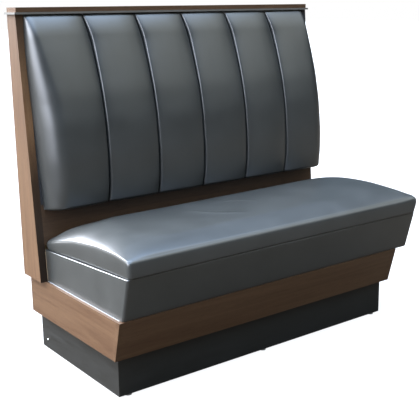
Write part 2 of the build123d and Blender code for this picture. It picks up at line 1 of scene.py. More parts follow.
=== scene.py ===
import json
import math
import bpy
import numpy as np
from mathutils import Matrix, Vector

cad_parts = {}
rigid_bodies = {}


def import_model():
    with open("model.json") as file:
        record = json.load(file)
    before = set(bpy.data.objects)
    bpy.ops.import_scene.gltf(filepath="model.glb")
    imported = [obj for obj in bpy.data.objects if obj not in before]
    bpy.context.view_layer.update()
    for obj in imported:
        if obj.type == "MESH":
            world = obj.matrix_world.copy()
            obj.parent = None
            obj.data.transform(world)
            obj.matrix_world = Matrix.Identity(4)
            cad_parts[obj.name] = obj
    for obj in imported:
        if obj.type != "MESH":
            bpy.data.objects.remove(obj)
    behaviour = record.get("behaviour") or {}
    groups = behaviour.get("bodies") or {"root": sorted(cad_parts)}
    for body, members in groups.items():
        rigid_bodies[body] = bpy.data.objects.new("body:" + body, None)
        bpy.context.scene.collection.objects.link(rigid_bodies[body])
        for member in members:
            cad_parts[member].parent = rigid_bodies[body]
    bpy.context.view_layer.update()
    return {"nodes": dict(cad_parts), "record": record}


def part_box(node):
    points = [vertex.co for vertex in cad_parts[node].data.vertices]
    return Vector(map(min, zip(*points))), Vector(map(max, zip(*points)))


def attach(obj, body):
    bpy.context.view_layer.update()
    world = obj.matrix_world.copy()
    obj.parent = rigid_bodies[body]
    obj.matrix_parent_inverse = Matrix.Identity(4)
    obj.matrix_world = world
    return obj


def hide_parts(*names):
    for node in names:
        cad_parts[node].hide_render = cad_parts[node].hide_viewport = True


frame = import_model()
NODES = frame["nodes"]
MM = 0.001

# Camera, fitted to corner points of the photograph
CAMERA_PLACE = (-1.6069, -2.0565, 1.0616)
CAMERA_HEADING = math.radians(-36.88)
CAMERA_TILT = math.radians(-13.47)
CAMERA_ROLL = math.radians(-0.76)
CAMERA_LENS = 70.41
CAMERA_SENSOR = 36.0

# Sizes that the looks share with the model
VINYL = 1.2 * MM
SEAT_FALL = math.radians(3.2)
DECK_LOW = 1.5 * MM
DECK_HIGH = 13.5 * MM
CHANNELS = 6
END_CHANNEL_EXTRA = 10 * MM


def corner_of(node, at_top):
    """The foremost point of a node's lowest or highest edge."""
    points = [v.co for v in NODES[node].data.vertices]
    heights = [p.z for p in points]
    level = max(heights) if at_top else min(heights)
    return min((p for p in points if abs(p.z - level) < 0.1 * MM), key=lambda p: p.y)


panel_foot = corner_of("left_end_panel", False)
panel_head = corner_of("left_end_panel", True)
box_low, box_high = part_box("box_cover")
box_foot = corner_of("box_cover", False)
pad_low, pad_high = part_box("back_cover")
BACK_LEAN = (panel_head.y - panel_foot.y) / (panel_head.z - panel_foot.z)
FRONT_LEAN = (box_foot.y - box_low.y) / (box_high.z - box_low.z)


def face_y(z):
    """The plane that the back pad lies on."""
    return panel_foot.y + (z - panel_foot.z) * BACK_LEAN


def smooth_step(t):
    """An eased step from 0 to 1 as t goes from 0 to 1."""
    t = np.clip(t, 0.0, 1.0)
    return t * t * (3 - 2 * t)


# Materials
class Nodes:
    """A short way to build one material's node tree."""

    def __init__(self, name):
        self.material = bpy.data.materials.new(name)
        self.material.use_nodes = True
        self.tree = self.material.node_tree
        self.tree.nodes.clear()
        self.output = self.tree.nodes.new("ShaderNodeOutputMaterial")
        self.shader = self.tree.nodes.new("ShaderNodeBsdfPrincipled")
        self.tree.links.new(self.shader.outputs[0], self.output.inputs[0])
        self.place = self.tree.nodes.new("ShaderNodeTexCoord").outputs["Object"]

    def link(self, a, b):
        self.tree.links.new(a, b)

    def mapped(self, scale, turn=(0, 0, 0)):
        """The object's coordinates, turned and scaled."""
        node = self.tree.nodes.new("ShaderNodeMapping")
        node.inputs["Scale"].default_value = scale
        node.inputs["Rotation"].default_value = turn
        self.link(self.place, node.inputs["Vector"])
        return node.outputs[0]

    def noise(self, vector, scale, detail, rough, distortion=0.0):
        """A cloudy pattern's factor."""
        node = self.tree.nodes.new("ShaderNodeTexNoise")
        node.inputs["Scale"].default_value = scale
        node.inputs["Detail"].default_value = detail
        node.inputs["Roughness"].default_value = rough
        node.inputs["Distortion"].default_value = distortion
        self.link(vector, node.inputs["Vector"])
        return node.outputs["Fac"]

    def cells(self, vector, scale):
        """The distance to the middle of the nearest cell."""
        node = self.tree.nodes.new("ShaderNodeTexVoronoi")
        node.inputs["Scale"].default_value = scale
        self.link(vector, node.inputs["Vector"])
        return node.outputs["Distance"]

    def ramp(self, factor, stops):
        """A colour for each place along a factor."""
        node = self.tree.nodes.new("ShaderNodeValToRGB")
        marks = node.color_ramp.elements
        while len(marks) < len(stops):
            marks.new(0.5)
        for mark, (place, colour) in zip(marks, stops):
            mark.position = place
            mark.color = (*colour, 1.0)
        self.link(factor, node.inputs[0])
        return node.outputs[0]

    def spread(self, factor, low, high):
        """Maps a 0 to 1 factor to a range."""
        node = self.tree.nodes.new("ShaderNodeMapRange")
        node.inputs["To Min"].default_value = low
        node.inputs["To Max"].default_value = high
        self.link(factor, node.inputs["Value"])
        return node.outputs[0]

    def blend(self, factor, a, b, kind="MIX"):
        """Mix b into a, each a colour or a socket."""
        node = self.tree.nodes.new("ShaderNodeMix")
        node.data_type = "RGBA"
        node.blend_type = kind
        for socket, value in ((node.inputs[0], factor), (node.inputs[6], a), (node.inputs[7], b)):
            if isinstance(value, (int, float, tuple)):
                socket.default_value = value
            else:
                self.link(value, socket)
        return node.outputs[2]

    def add(self, a, b, b_share=1.0):
        """a plus a share of b."""
        node = self.tree.nodes.new("ShaderNodeMath")
        node.operation = "MULTIPLY_ADD"
        self.link(b, node.inputs[0])
        node.inputs[1].default_value = b_share
        self.link(a, node.inputs[2])
        return node.outputs[0]

    def bump(self, height, strength, distance):
        """Give the shader's surface a relief."""
        node = self.tree.nodes.new("ShaderNodeBump")
        node.inputs["Strength"].default_value = strength
        node.inputs["Distance"].default_value = distance
        self.link(height, node.inputs["Height"])
        self.link(node.outputs[0], self.shader.inputs["Normal"])

    def over(self, value, limit, sign=1):
        """1 where the value, times its sign, is over a limit."""
        test = self.tree.nodes.new("ShaderNodeMath")
        test.operation = "GREATER_THAN" if sign > 0 else "LESS_THAN"
        test.inputs[1].default_value = limit * sign
        self.link(value, test.inputs[0])
        return test.outputs[0]

    def part_of(self, vector, letter):
        """A vector's X, Y or Z."""
        split = self.tree.nodes.new("ShaderNodeSeparateXYZ")
        self.link(vector, split.inputs[0])
        return split.outputs[letter]

    def faces(self, letter, sign):
        """1 on faces that look along an axis, or against it, else 0."""
        normal = self.tree.nodes.new("ShaderNodeNewGeometry").outputs["True Normal"]
        return self.over(self.part_of(normal, letter), 0.9, sign)

    def beyond(self, x):
        """1 to the right of a place along X, else 0."""
        return self.over(self.part_of(self.place, "X"), x)

    def both(self, a, b):
        """1 where a and b are both 1."""
        node = self.tree.nodes.new("ShaderNodeMath")
        node.operation = "MULTIPLY"
        self.link(a, node.inputs[0])
        self.link(b, node.inputs[1])
        return node.outputs[0]

    def set(self, **values):
        """Set inputs of the shader to constants or to sockets."""
        for name, value in values.items():
            socket = self.shader.inputs[name.replace("_", " ")]
            if isinstance(value, (int, float, tuple)):
                socket.default_value = value
            else:
                self.link(value, socket)


def grain_scale(axis, across, along):
    """A mapping scale that stretches a pattern along one axis."""
    return tuple(along if letter == axis else across for letter in "XYZ")


# The band's top edge beside the seat box: a pale grey, a painted highlight along its ledge
LEDGE_HIGHLIGHT_GREY = (0.26, 0.26, 0.26, 1.0)
# The end panel's front edge: painted light and shade as a tone at heights in metres, painted shade behind the
# seat and painted light above it
FRONT_LIGHT_AND_SHADE = [(0.30, 0.22), (0.55, 0.50), (0.72, 2.40), (0.90, 1.55), (1.0, 0.75)]


def walnut(name, axis, light, highlight_beyond=None, painted_front_light=False):
    """Walnut laminate: drifting bands, fine fibres and dark pores, all along one axis.

    A board can show a painted highlight on its top edge beyond a place along X, and painted light and shade
    along the height of its front edge.
    """
    n = Nodes(name)
    turn = tuple(math.radians(1.5) if letter != axis else 0.0 for letter in "XYZ")
    broad = n.mapped(grain_scale(axis, 1.0, 0.10), turn)
    drift = n.noise(broad, 7.0, 3.0, 0.55, 0.8)
    figure = n.noise(n.mapped(grain_scale(axis, 1.0, 0.05), turn), 38.0, 4.0, 0.6, 1.4)
    fibre = n.noise(n.mapped(grain_scale(axis, 1.0, 0.025)), 420.0, 2.0, 0.6)
    pores = n.noise(n.mapped(grain_scale(axis, 1.0, 0.04)), 900.0, 1.0, 0.5)
    tone = n.add(n.spread(figure, 0.0, 0.75), drift, 0.45)
    tone = n.add(tone, fibre, 0.10)
    dark = tuple(light * c for c in (0.125, 0.055, 0.022))
    mid = tuple(light * c for c in (0.225, 0.108, 0.047))
    pale = tuple(light * c for c in (0.330, 0.178, 0.086))
    wood = n.ramp(tone, [(0.30, dark), (0.52, mid), (0.80, pale)])
    pits = n.ramp(pores, [(0.30, (0.55, 0.50, 0.46)), (0.42, (1.0, 1.0, 1.0))])
    colour = n.blend(0.7, wood, pits, "MULTIPLY")
    # Painted highlight: a pale grey on the upward faces along the band's top edge
    if highlight_beyond is not None:
        edge = n.both(n.faces("Z", 1), n.beyond(highlight_beyond))
        colour = n.blend(edge, colour, LEDGE_HIGHLIGHT_GREY)
    # Painted light and shade: the front faces darken behind the seat and lighten above it
    if painted_front_light:
        front_light = n.ramp(n.part_of(n.place, "Z"), [(z, (v, v, 0.95 * v)) for z, v in FRONT_LIGHT_AND_SHADE])
        colour = n.blend(n.faces("Y", -1), colour, n.blend(1.0, colour, front_light, "MULTIPLY"))
    n.set(Base_Color=colour, Roughness=n.spread(fibre, 0.40, 0.55), Specular_IOR_Level=0.35)
    n.bump(n.add(pores, fibre, 0.6), 0.25, 0.10 * MM)
    return n.material


def vinyl(name):
    """Dark slate upholstery vinyl: a pressed leather grain, soft gloss and slight mottling."""
    n = Nodes(name)
    plain = n.mapped((1, 1, 1))
    cloud = n.noise(plain, 9.0, 3.0, 0.6)
    pebble = n.cells(plain, 620.0)
    crease = n.noise(plain, 260.0, 3.0, 0.6, 0.6)
    colour = n.ramp(cloud, [(0.25, (0.022, 0.023, 0.0215)), (0.75, (0.030, 0.031, 0.029))])
    n.set(Base_Color=colour, Roughness=n.spread(n.add(cloud, crease, 0.3), 0.25, 0.36))
    n.set(IOR=1.52, Specular_IOR_Level=0.75)
    n.bump(n.add(pebble, crease, 0.7), 0.14, 0.14 * MM)
    return n.material


def laminate(name, dark=(0.006, 0.006, 0.005), light=(0.011, 0.011, 0.010)):
    """Plain laminate with a very fine satin texture and faint scuffs."""
    n = Nodes(name)
    plain = n.mapped((1, 1, 1))
    fine = n.noise(plain, 700.0, 2.0, 0.6)
    scuff = n.noise(n.mapped((0.15, 0.15, 1.0)), 60.0, 4.0, 0.7)
    colour = n.ramp(scuff, [(0.30, dark), (0.80, light)])
    n.set(Base_Color=colour, Roughness=n.spread(scuff, 0.36, 0.50), Specular_IOR_Level=0.5)
    n.bump(fine, 0.15, 0.05 * MM)
    return n.material


def plywood(name):
    """Bare plywood with a soft grain along X."""
    n = Nodes(name)
    figure = n.noise(n.mapped(grain_scale("X", 1.0, 0.06)), 40.0, 4.0, 0.6, 1.0)
    fibre = n.noise(n.mapped(grain_scale("X", 1.0, 0.03)), 500.0, 2.0, 0.6)
    wood = n.ramp(figure, [(0.30, (0.46, 0.31, 0.17)), (0.70, (0.66, 0.50, 0.32))])
    n.set(Base_Color=wood, Roughness=n.spread(fibre, 0.55, 0.75))
    n.bump(fibre, 0.3, 0.1 * MM)
    return n.material


def metal(name, colour, low, high):
    """Plated steel with a brushed, uneven gloss."""
    n = Nodes(name)
    streak = n.noise(n.mapped((1.0, 1.0, 0.2)), 300.0, 3.0, 0.6)
    shade = tuple(0.8 * c for c in colour)
    n.set(Base_Color=n.ramp(streak, [(0.3, shade), (0.7, colour)]), Metallic=1.0)
    n.set(Roughness=n.spread(streak, low, high))
    n.bump(streak, 0.1, 0.05 * MM)
    return n.material


def woven(name, colour):
    """Hook and loop tape: a fuzzy dark weave."""
    n = Nodes(name)
    fuzz = n.cells(n.mapped((1, 1, 1)), 900.0)
    dark = tuple(0.5 * c for c in colour)
    n.set(Base_Color=n.ramp(fuzz, [(0.2, colour), (0.8, dark)]), Roughness=0.95, Sheen_Weight=0.3)
    n.bump(fuzz, 0.8, 0.4 * MM)
    return n.material


# How far the painted highlight on the band's top edge reaches out from the seat box
LEDGE_EDGE = 2 * MM
WALNUT_UP = walnut("walnut_upright", "Z", 0.262, painted_front_light=True)
WALNUT_LONG = walnut("walnut_lengthwise", "X", 0.22)
# A darker copy of the lengthwise walnut for the lower back panel: painted shade
WALNUT_PAINTED_SHADE = walnut("walnut_lower_back_painted_shade", "X", 0.18)
WALNUT_DEEP = walnut("walnut_sidewise", "Y", 0.232, highlight_beyond=box_low.x - LEDGE_EDGE)
WALNUT_CAP = walnut("walnut_cap", "X", 0.27)
VINYL_LOOK = vinyl("slate_vinyl")
BLACK_LAMINATE = laminate("black_laminate")
PLYWOOD = plywood("plywood")
ZINC = metal("zinc_steel", (0.30, 0.30, 0.28), 0.40, 0.56)
NICKEL = metal("nickel_glide", (0.66, 0.65, 0.62), 0.22, 0.38)
TAPE = woven("grip_tape", (0.030, 0.030, 0.032))
# A dark lining on the pad's backboard: a painted shadow, for the shadow gap between the end panel and the pad
SHADOW_GAP_LINING = woven("black_lining_painted_shadow", (0.008, 0.008, 0.009))
CAP_EDGE = laminate("grey_laminate_edge", (0.09, 0.085, 0.075), (0.13, 0.12, 0.105))

LOOKS = {
    "left_end_panel": WALNUT_UP,
    "back_rear_panel": WALNUT_UP,
    "lower_back_panel": WALNUT_PAINTED_SHADE,
    # The backboard's dark lining is a painted shadow in the gap beside the pad
    "pad_backboard": SHADOW_GAP_LINING,
    "band_front_board": WALNUT_LONG,
    "band_left_board": WALNUT_DEEP,
    "band_right_board": WALNUT_DEEP,
    "band_rear_board": WALNUT_LONG,
    "cap_board": WALNUT_CAP,
    "cap_plate": CAP_EDGE,
}
SLOT_LOOKS = {
    "black_laminate": BLACK_LAMINATE,
    "walnut": WALNUT_LONG,
    "plywood": PLYWOOD,
    "vinyl": VINYL_LOOK,
    "foam": PLYWOOD,
    "grip_pad": TAPE,
    "zinc_steel": ZINC,
    "glide": NICKEL,
}


def dress_nodes():
    """Give every carried-over node its material."""
    slots = {part["node"]: part["material_slot"] for part in frame["record"]["subparts"]}
    for name, piece in NODES.items():
        look = LOOKS.get(name, SLOT_LOOKS[slots[name]])
        piece.data.materials.clear()
        piece.data.materials.append(look)


# Meshes
def make_piece(name, points, faces, look, body):
    """A smooth-shaded mesh that rides on a body and fills a material slot."""
    mesh = bpy.data.meshes.new(name)
    mesh.from_pydata([tuple(p) for p in points], [], [list(map(int, face)) for face in faces])
    mesh.validate()
    mesh.update()
    mesh.shade_smooth()
    mesh.materials.append(look)
    piece = bpy.data.objects.new(name, mesh)
    bpy.context.scene.collection.objects.link(piece)
    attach(piece, body)
    return piece


def grid(rows, columns):
    """A grid's point numbers, and its faces."""
    index = np.arange(rows * columns).reshape(rows, columns)
    faces = [[index[j, i], index[j, i + 1], index[j + 1, i + 1], index[j + 1, i]]
             for j in range(rows - 1) for i in range(columns - 1)]
    return index, faces


def border_pins(rows, columns):
    """Pins for the cloth on a grid's border."""
    pins = np.zeros((rows, columns))
    pins[0, :] = pins[-1, :] = pins[:, 0] = pins[:, -1] = 1
    return pins


def point_array(piece):
    """A piece's points, one in each row."""
    mesh = piece.data
    flat = np.empty(len(mesh.vertices) * 3)
    mesh.vertices.foreach_get("co", flat)
    return flat.reshape(-1, 3)


def set_points(piece, points):
    """Move a piece's points."""
    piece.data.vertices.foreach_set("co", np.ascontiguousarray(points).ravel())
    piece.data.update()


SMOOTHING_ROUNDS = 24
CLOTH_FRAMES = 16


def settle(piece, pins, cap, pressure):
    """Swell a piece as cloth under pressure, hold its pins, and keep each point within the cap."""
    start = point_array(piece)
    body = piece.parent
    piece.parent = None
    group = piece.vertex_groups.new(name="held")
    for index, weight in enumerate(pins):
        if weight > 0:
            group.add([index], float(weight), "REPLACE")
    cloth = piece.modifiers.new("Cloth", "CLOTH")
    settings = cloth.settings
    settings.quality = 5
    settings.mass = 0.25
    settings.tension_stiffness = 25
    settings.compression_stiffness = 20
    settings.shear_stiffness = 10
    settings.bending_stiffness = 1.5
    settings.use_pressure = True
    settings.uniform_pressure_force = pressure
    settings.vertex_group_mass = "held"
    settings.effector_weights.gravity = 0
    cloth.point_cache.frame_start = 1
    cloth.point_cache.frame_end = CLOTH_FRAMES
    scene = bpy.context.scene
    for step in range(1, CLOTH_FRAMES + 1):
        scene.frame_set(step)
    graph = bpy.context.evaluated_depsgraph_get()
    copy = piece.evaluated_get(graph).to_mesh()
    flat = np.empty(len(copy.vertices) * 3)
    copy.vertices.foreach_get("co", flat)
    moved = flat.reshape(-1, 3) - start
    piece.evaluated_get(graph).to_mesh_clear()
    piece.modifiers.remove(cloth)
    scene.frame_set(1)
    moved = even_out(piece, moved, np.asarray(pins), SMOOTHING_ROUNDS)
    length = np.linalg.norm(moved, axis=1, keepdims=True)
    moved *= np.minimum(1.0, cap / np.maximum(length, 1e-9))
    print(f"{piece.name} settled: mean {length.mean() / MM:.1f} mm, most {length.max() / MM:.1f} mm")
    set_points(piece, start + moved)
    piece.parent = body


def even_out(piece, moved, pins, rounds):
    """Average each free point's move with its neighbours', which leaves the vinyl taut."""
    mesh = piece.data
    pairs = np.empty(len(mesh.edges) * 2, dtype=np.int64)
    mesh.edges.foreach_get("vertices", pairs)
    a, b = pairs.reshape(-1, 2).T
    degree = np.bincount(pairs, minlength=len(moved)).reshape(-1, 1)
    free = (pins < 0.5).reshape(-1, 1)
    for _ in range(rounds):
        total = np.zeros_like(moved)
        np.add.at(total, a, moved[b])
        np.add.at(total, b, moved[a])
        moved = np.where(free, 0.4 * moved + 0.6 * total / np.maximum(degree, 1), moved)
    return moved


def crease(piece, ring):
    """Keep a closed ring of edges sharp through the subdivision."""
    pairs = {frozenset(pair) for pair in zip(ring, ring[1:] + ring[:1])}
    creases = piece.data.attributes.new("crease_edge", "FLOAT", "EDGE")
    for edge in piece.data.edges:
        if frozenset(edge.vertices) in pairs:
            creases.data[edge.index].value = 1.0


def subdivide(piece):
    """Apply one level of smooth subdivision."""
    modifier = piece.modifiers.new("Smooth", "SUBSURF")
    modifier.levels = modifier.render_levels = 1
    graph = bpy.context.evaluated_depsgraph_get()
    mesh = bpy.data.meshes.new_from_object(piece.evaluated_get(graph))
    piece.modifiers.remove(modifier)
    old = piece.data
    mesh.name = old.name
    piece.data = mesh
    bpy.data.meshes.remove(old)
    mesh.shade_smooth()


def edge_spacing(low, high, count, even_part):
    """Places from low to high that crowd towards both ends, but for an even part of the span."""
    t = np.linspace(0.0, 1.0, count)
    crowd = 0.5 - 0.5 * np.cos(np.pi * t)
    even = low + (high - low) * t
    eased = low + (high - low) * crowd
    mix = even_part / (high - low)
    return even * mix + eased * (1 - mix)


# Seat cushion
SEAT_END_INSET = 3 * MM
SEAT_FRONT_OUT = 5 * MM
SEAT_REAR_GAP = 4 * MM
SEAT_DEPTH = (face_y(box_high.z) - SEAT_REAR_GAP - box_low.y) / math.cos(SEAT_FALL)
SEAT_COLUMNS = 140
SEAT_ROWS = 66
EVEN_WIDTH = 550 * MM
EVEN_DEPTH = 220 * MM
SEAM_FRONT = 51 * MM
CROWN = 95 * MM
CROWN_REAR = 36 * MM
CROWN_PEAK = 0.59
CROWN_POWER = 0.6
LEFT_ROLL = 150 * MM
LEFT_ROLL_RATE = 5.2
RIGHT_ROLL = 100 * MM
RIGHT_ROLL_RATE = 4.2
RIGHT_SEAM_RISE = 0.14
RIGHT_CROWN_RISE = 9 * MM
PLAN_RADIUS = 13 * MM
FRONT_ROLL = 40 * MM
FRONT_TUCK = 3 * MM
RIGHT_TUCK = 2 * MM
SIDE_DRAW = 3.5 * MM
FOOT_RADIUS = 4 * MM
LIP_BELOW = 0.3 * MM
LIP_WIDTH = 26 * MM
DECK_INSET = 7 * MM
DECK_SKIN = 0.1 * MM
SEAT_MOVE = 5 * MM
SEAT_PRESSURE = 3.0
# The wall between the seam and the foot: share of its height, and how much of its swell it has there
WALL_SWELL = [(0.88, 0.75), (0.74, 1.0), (0.56, 0.92), (0.38, 0.62), (0.20, 0.26)]
SWELL_LEFT = 1.8 * MM
SWELL_FRONT = 1.8 * MM
SWELL_RIGHT = 10 * MM
# Creases on the seat, each part of a circle: the circle's middle and radius, the angles that the crease
# runs between, and its height
CREASES = [
    (-0.10, 0.10, 0.16, 0.4, 1.5, 2.6 * MM),
    (-0.02, 0.30, 0.20, 3.4, 4.6, 2.2 * MM),
]
CREASE_WIDTH = 7 * MM
CREASE_FADE = 0.35


def seat_to_row(points):
    """From the seat's own frame, which lies on the sloping rim, to the row's frame."""
    x, y, z = points[..., 0], points[..., 1], points[..., 2]
    c, s = math.cos(SEAT_FALL), math.sin(SEAT_FALL)
    return np.stack([x, box_low.y + y * c + z * s, box_high.z - y * s + z * c], axis=-1)


def end_seam(t):
    """Height of the seam round the cushion's ends, from front to rear."""
    marks = [0.0, 0.06, 0.15, 0.35, 0.62, 0.86, 1.0]
    heights = [50, 54, 59.5, 63, 56, 38, 24]
    return np.interp(t, marks, heights) * MM


def end_rise(share, rate):
    """How far the cushion has risen to its crown at a share of the end roll."""
    return (1 - np.exp(-rate * np.clip(share, 0, 1))) / (1 - math.exp(-rate))


def crown_line(t):
    """Height of the cushion along its middle, from the front seam to the rear one."""
    ahead = np.clip(t / CROWN_PEAK, 0, 1)
    behind = np.clip((t - CROWN_PEAK) / (1 - CROWN_PEAK), 0, 1)
    rise = (1 - (1 - ahead) ** 2) ** CROWN_POWER
    fall = (1 - behind ** 2) ** CROWN_POWER
    front = SEAM_FRONT + (CROWN - SEAM_FRONT) * rise
    rear = CROWN_REAR + (CROWN - CROWN_REAR) * fall
    return np.where(t < CROWN_PEAK, front, rear)


def round_plan(x, y, x0, x1, y0, y1, radius):
    """Round the corners of a rectangle's plan, and draw its sides in between them."""
    dx = np.minimum(x - x0, x1 - x)
    dy = np.minimum(y - y0, y1 - y)
    a = np.clip(radius - dx, 0, None)
    b = np.clip(radius - dy, 0, None)
    both = (a > 0) & (b > 0)
    reach = np.hypot(a, b)
    pull = np.where(both, np.maximum(a, b) / np.maximum(reach, 1e-9), 1.0)
    side_x = np.sign((x0 + x1) / 2 - x)
    side_y = np.sign((y0 + y1) / 2 - y)
    x = np.where(both, x + side_x * a * (1 - pull), x)
    y = np.where(both, y + side_y * b * (1 - pull), y)
    u = (x - (x0 + x1) / 2) / ((x1 - x0) / 2)
    v = (y - (y0 + y1) / 2) / ((y1 - y0) / 2)
    x = x - u * SIDE_DRAW * (1 - np.clip(v, -1, 1) ** 2)
    y = y - v * SIDE_DRAW * (1 - np.clip(u, -1, 1) ** 2)
    return x, y


def border_ring(rows, columns):
    """Grid places round the border, once round."""
    ring = [(0, i) for i in range(columns)]
    ring += [(j, columns - 1) for j in range(1, rows)]
    ring += [(rows - 1, i) for i in range(columns - 2, -1, -1)]
    ring += [(j, 0) for j in range(rows - 2, 0, -1)]
    return ring


def seat_cushion():
    """The boxed seat cushion: a crowned top panel, a seam, walls, and a lip under the deck."""
    x0 = box_low.x + SEAT_END_INSET
    x1 = box_high.x - SEAT_END_INSET
    y0, y1 = -SEAT_FRONT_OUT, SEAT_DEPTH
    columns, rows = SEAT_COLUMNS, SEAT_ROWS
    xs = edge_spacing(x0, x1, columns, EVEN_WIDTH)
    ys = edge_spacing(y0, y1, rows, EVEN_DEPTH)
    gx, gy = np.meshgrid(xs, ys)
    t = (gy - y0) / (y1 - y0)
    rise = np.minimum(end_rise((gx - x0) / LEFT_ROLL, LEFT_ROLL_RATE),
                      end_rise((x1 - gx) / RIGHT_ROLL, RIGHT_ROLL_RATE))
    rightward = smooth_step((gx - x0) / (x1 - x0))
    low = end_seam(t) * (1 + RIGHT_SEAM_RISE * rightward)
    high = crown_line(t) + RIGHT_CROWN_RISE * rightward * np.sin(math.pi * np.clip(t, 0, 1))
    gz = low + (high - low) * rise
    px, py = round_plan(gx, gy, x0, x1, y0, y1, PLAN_RADIUS)
    plain_x, plain_y = px, py
    py = py + FRONT_TUCK * np.clip(1 - (gy - y0) / FRONT_ROLL, 0, 1) ** 2
    px = px - RIGHT_TUCK * np.clip(1 - (x1 - gx) / FRONT_ROLL, 0, 1) ** 2
    top = np.stack([px, py, gz + crease_height(gx, gy)], axis=-1)
    plain = np.stack([plain_x, plain_y, gz], axis=-1)
    points = [top.reshape(-1, 3)]
    index, faces = grid(rows, columns)
    ring = border_ring(rows, columns)
    seam = np.array([top[j, i] for j, i in ring])
    border = np.array([plain[j, i] for j, i in ring])
    inward = inward_of(border)
    seam_height = seam[:, 2:3]
    pins = [border_pins(rows, columns)]
    rings = []
    up = np.array([0, 0, 1.0])
    # The seam is a crisp line at the left end, and the vinyl rolls over softly elsewhere
    crisp = np.clip(inward[:, 0:1], 0, 1)
    soft = 1 - crisp
    rings.append((seam + inward * (0.7 * crisp - 1.3 * soft) * MM - up * 1.2 * MM, 1))
    rings.append((seam - inward * (0.3 * crisp + 2.4 * soft) * MM - up * 2.6 * MM, 1))
    for share, swell in WALL_SWELL:
        wall = border.copy()
        wall[:, 2:3] = seam_height * share
        rings.append((wall - inward * wall_stand(inward) * swell, 0))
    for quarter in (0.0, 0.5, 1.0):
        turn = quarter * math.pi / 2
        foot = border + inward * FOOT_RADIUS * (1 - math.cos(turn))
        foot[:, 2] = LIP_BELOW + FOOT_RADIUS * (1 - math.sin(turn))
        rings.append((foot, 1))
    for inset, height in ((LIP_WIDTH, LIP_BELOW), (LIP_WIDTH, DECK_LOW - DECK_SKIN),
                          (DECK_INSET, DECK_LOW - DECK_SKIN), (DECK_INSET, DECK_HIGH + DECK_SKIN)):
        lip = border + inward * inset
        lip[:, 2] = height
        rings.append((lip, 1))
    start = rows * columns
    before = [index[j, i] for j, i in ring]
    count = len(ring)
    for placed, weight in rings:
        points.append(placed)
        pins.append(np.full(count, weight))
        now = list(range(start, start + count))
        for k in range(count):
            m = (k + 1) % count
            faces.append([before[k], now[k], now[m], before[m]])
        before = now
        start += count
    faces += closing_strips(before, columns, rows)
    local = np.concatenate(points)
    piece = make_piece("seat_cushion", seat_to_row(local), faces, VINYL_LOOK, "seat")
    settle(piece, np.concatenate([p.ravel() for p in pins]), SEAT_MOVE, SEAT_PRESSURE)
    crease(piece, before)
    subdivide(piece)
    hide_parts("seat_cover", "seat_foam")


def wall_stand(inward):
    """How far the wall swells out: little at the left end, more at the front and the right end."""
    left = np.clip(inward[:, 0:1], 0, 1)
    right = np.clip(-inward[:, 0:1], 0, 1)
    front = np.clip(inward[:, 1:2], 0, 1)
    return left * SWELL_LEFT + right * SWELL_RIGHT + front * SWELL_FRONT


def closing_strips(ring, columns, rows):
    """Faces that close a border ring from front to rear, facing down."""
    front = ring[:columns]
    right = ring[columns - 1:columns + rows - 1]
    rear = ring[columns + rows - 2:2 * columns + rows - 2][::-1]
    left = [rear[0]] + ring[2 * columns + rows - 2:] + [front[0]]
    strips = [[front[i + 1], front[i], rear[i], rear[i + 1]] for i in range(1, columns - 2)]
    strips.append([front[1]] + left[::-1] + [rear[1]])
    strips.append([rear[-2]] + right[::-1] + [front[-2]])
    return strips


def inward_of(ring):
    """Unit vectors in plan that point inside a closed ring of points."""
    ahead = np.roll(ring, -1, axis=0)[:, :2] - np.roll(ring, 1, axis=0)[:, :2]
    length = np.linalg.norm(ahead, axis=1, keepdims=True)
    ahead = ahead / np.maximum(length, 1e-9)
    return np.stack([-ahead[:, 1], ahead[:, 0], np.zeros(len(ring))], axis=-1)


def crease_height(x, y):
    """Two soft creases where sitters have slid across the seat."""
    total = np.zeros_like(x)
    for cx, cy, radius, low, high, height in CREASES:
        away = np.hypot(x - cx, y - cy)
        angle = np.mod(np.arctan2(y - cy, x - cx), 2 * math.pi)
        along = smooth_step((angle - low) / CREASE_FADE) * smooth_step((high - angle) / CREASE_FADE)
        total += height * along * np.exp(-((away - radius) / CREASE_WIDTH) ** 2)
    return total


# Back pad
PAD_GAP = 0.3 * MM
PAD_SIDE_ROLL = 62 * MM
PAD_ROLL_SHARE = 0.75
PAD_LEAST_ROLL = 30 * MM
PAD_FOOT_ROLL = 15 * MM
PAD_HEAD_ROLL = 60 * MM
HEAD_LEAN = 9 * MM
HEAD_LEAN_FROM = 0.84
PAD_LEFT_GAP = 2 * MM
PAD_RIGHT_OVERHANG = 3 * MM
STITCH_DEPTH = 7 * MM
STITCH_REACH = 2.4 * MM
# The power of each edge's roll
SIDE_POWER = 2.1
FOOT_POWER = 2.6
HEAD_POWER = 1.8
# The power of a channel's section: right of a seam, what it gains there up the pad, and left of a seam
ARCH_RIGHT = 2.8
ARCH_GAIN = 1.4
ARCH_GAIN_FROM = 0.45
ARCH_GAIN_SPAN = 0.40
ARCH_LEFT = 2.6
ARCH_TIGHT = 0.78
ARCH_ROUND = 0.22
# Rows in all, close rows and columns at the edges, and how many times its edge's roll each set covers
PAD_ROWS = 84
FOOT_ROWS = 10
FOOT_COVER = 1.3
HEAD_ROWS = 9
HEAD_COVER = 1.2
SIDE_COLUMNS = 15
SIDE_COVER = 1.25
PAD_MOVE = 4 * MM
PAD_PRESSURE = 2.5
# Hand-sewn channels: how far each seam lies right of an even spacing, in millimetres
SEAM_SHIFTS = [7.5, 9.0, 4.5, 2.0, 0.0]
# Columns beside each seam, in millimetres from it
SEAM_REACH = [0.6, 1.4, 2.6, 4.5, 7.5, 12.0, 19.0, 28.0, 40.0, 55.0, 72.0]
LEAST_COLUMN = 0.5 * MM
WIDEST_COLUMN = 16 * MM


